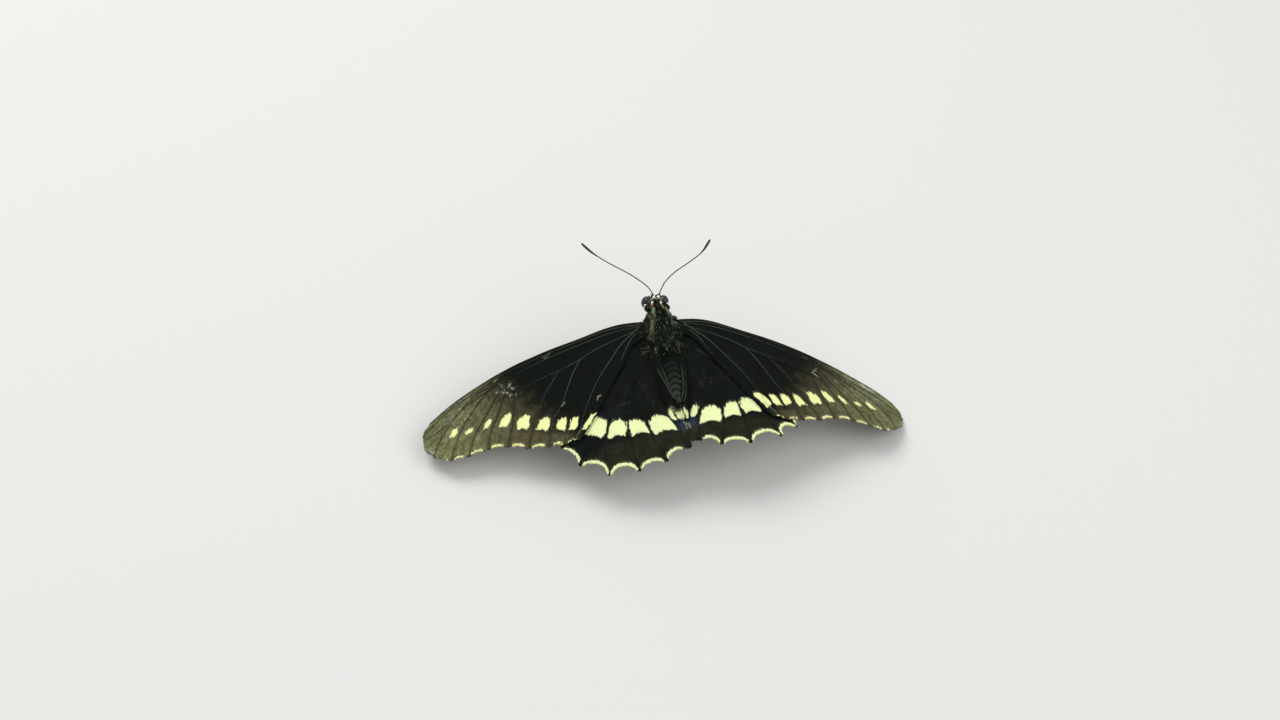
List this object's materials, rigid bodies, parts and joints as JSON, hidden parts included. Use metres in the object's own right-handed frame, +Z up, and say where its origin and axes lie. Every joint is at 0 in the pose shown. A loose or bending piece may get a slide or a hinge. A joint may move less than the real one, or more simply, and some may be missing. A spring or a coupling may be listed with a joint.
{
  "type": "gold rim swallowtail butterfly",
  "caption": "Tailless black swallowtail butterfly at rest, wings spread and lowered, a row of yellow spots across the wings, standing on its legs.",
  "frame": {"origin": "on the floor, under the middle of the insect's outline seen from above", "axes": "+X to the insect's right, +Y the way the head points, +Z up"},
  "size_m": [0.092, 0.0484, 0.0175],
  "materials": {
    "body": "black, with olive and gold hair",
    "eye": "glossy dark blue-grey facets",
    "feeler": "satin black, ringed",
    "leg": "satin black, scaled",
    "wing": "velvety black-brown scales with yellow spots"
  },
  "bodies": {
    "root": {"eye_left": "eye", "eye_right": "eye", "head": "body", "antenna_left": "feeler", "palp_left": "body", "antenna_right": "feeler", "palp_right": "body", "proboscis": "feeler", "thorax": "body", "abdomen": "body", "leg_fore_left_femur": "leg", "leg_fore_left_tibia": "leg", "leg_fore_left_tarsus": "leg", "leg_fore_right_femur": "leg", "leg_fore_right_tibia": "leg", "leg_fore_right_tarsus": "leg", "leg_mid_left_femur": "leg", "leg_mid_left_tibia": "leg", "leg_mid_left_tarsus": "leg", "leg_mid_right_femur": "leg", "leg_mid_right_tibia": "leg", "leg_mid_right_tarsus": "leg", "leg_hind_left_femur": "leg", "leg_hind_left_tibia": "leg", "leg_hind_left_tarsus": "leg", "leg_hind_right_femur": "leg", "leg_hind_right_tibia": "leg", "leg_hind_right_tarsus": "leg", "forewing_left": "wing", "hindwing_left": "wing", "forewing_right": "wing", "hindwing_right": "wing"}
  },
  "joints": []
}
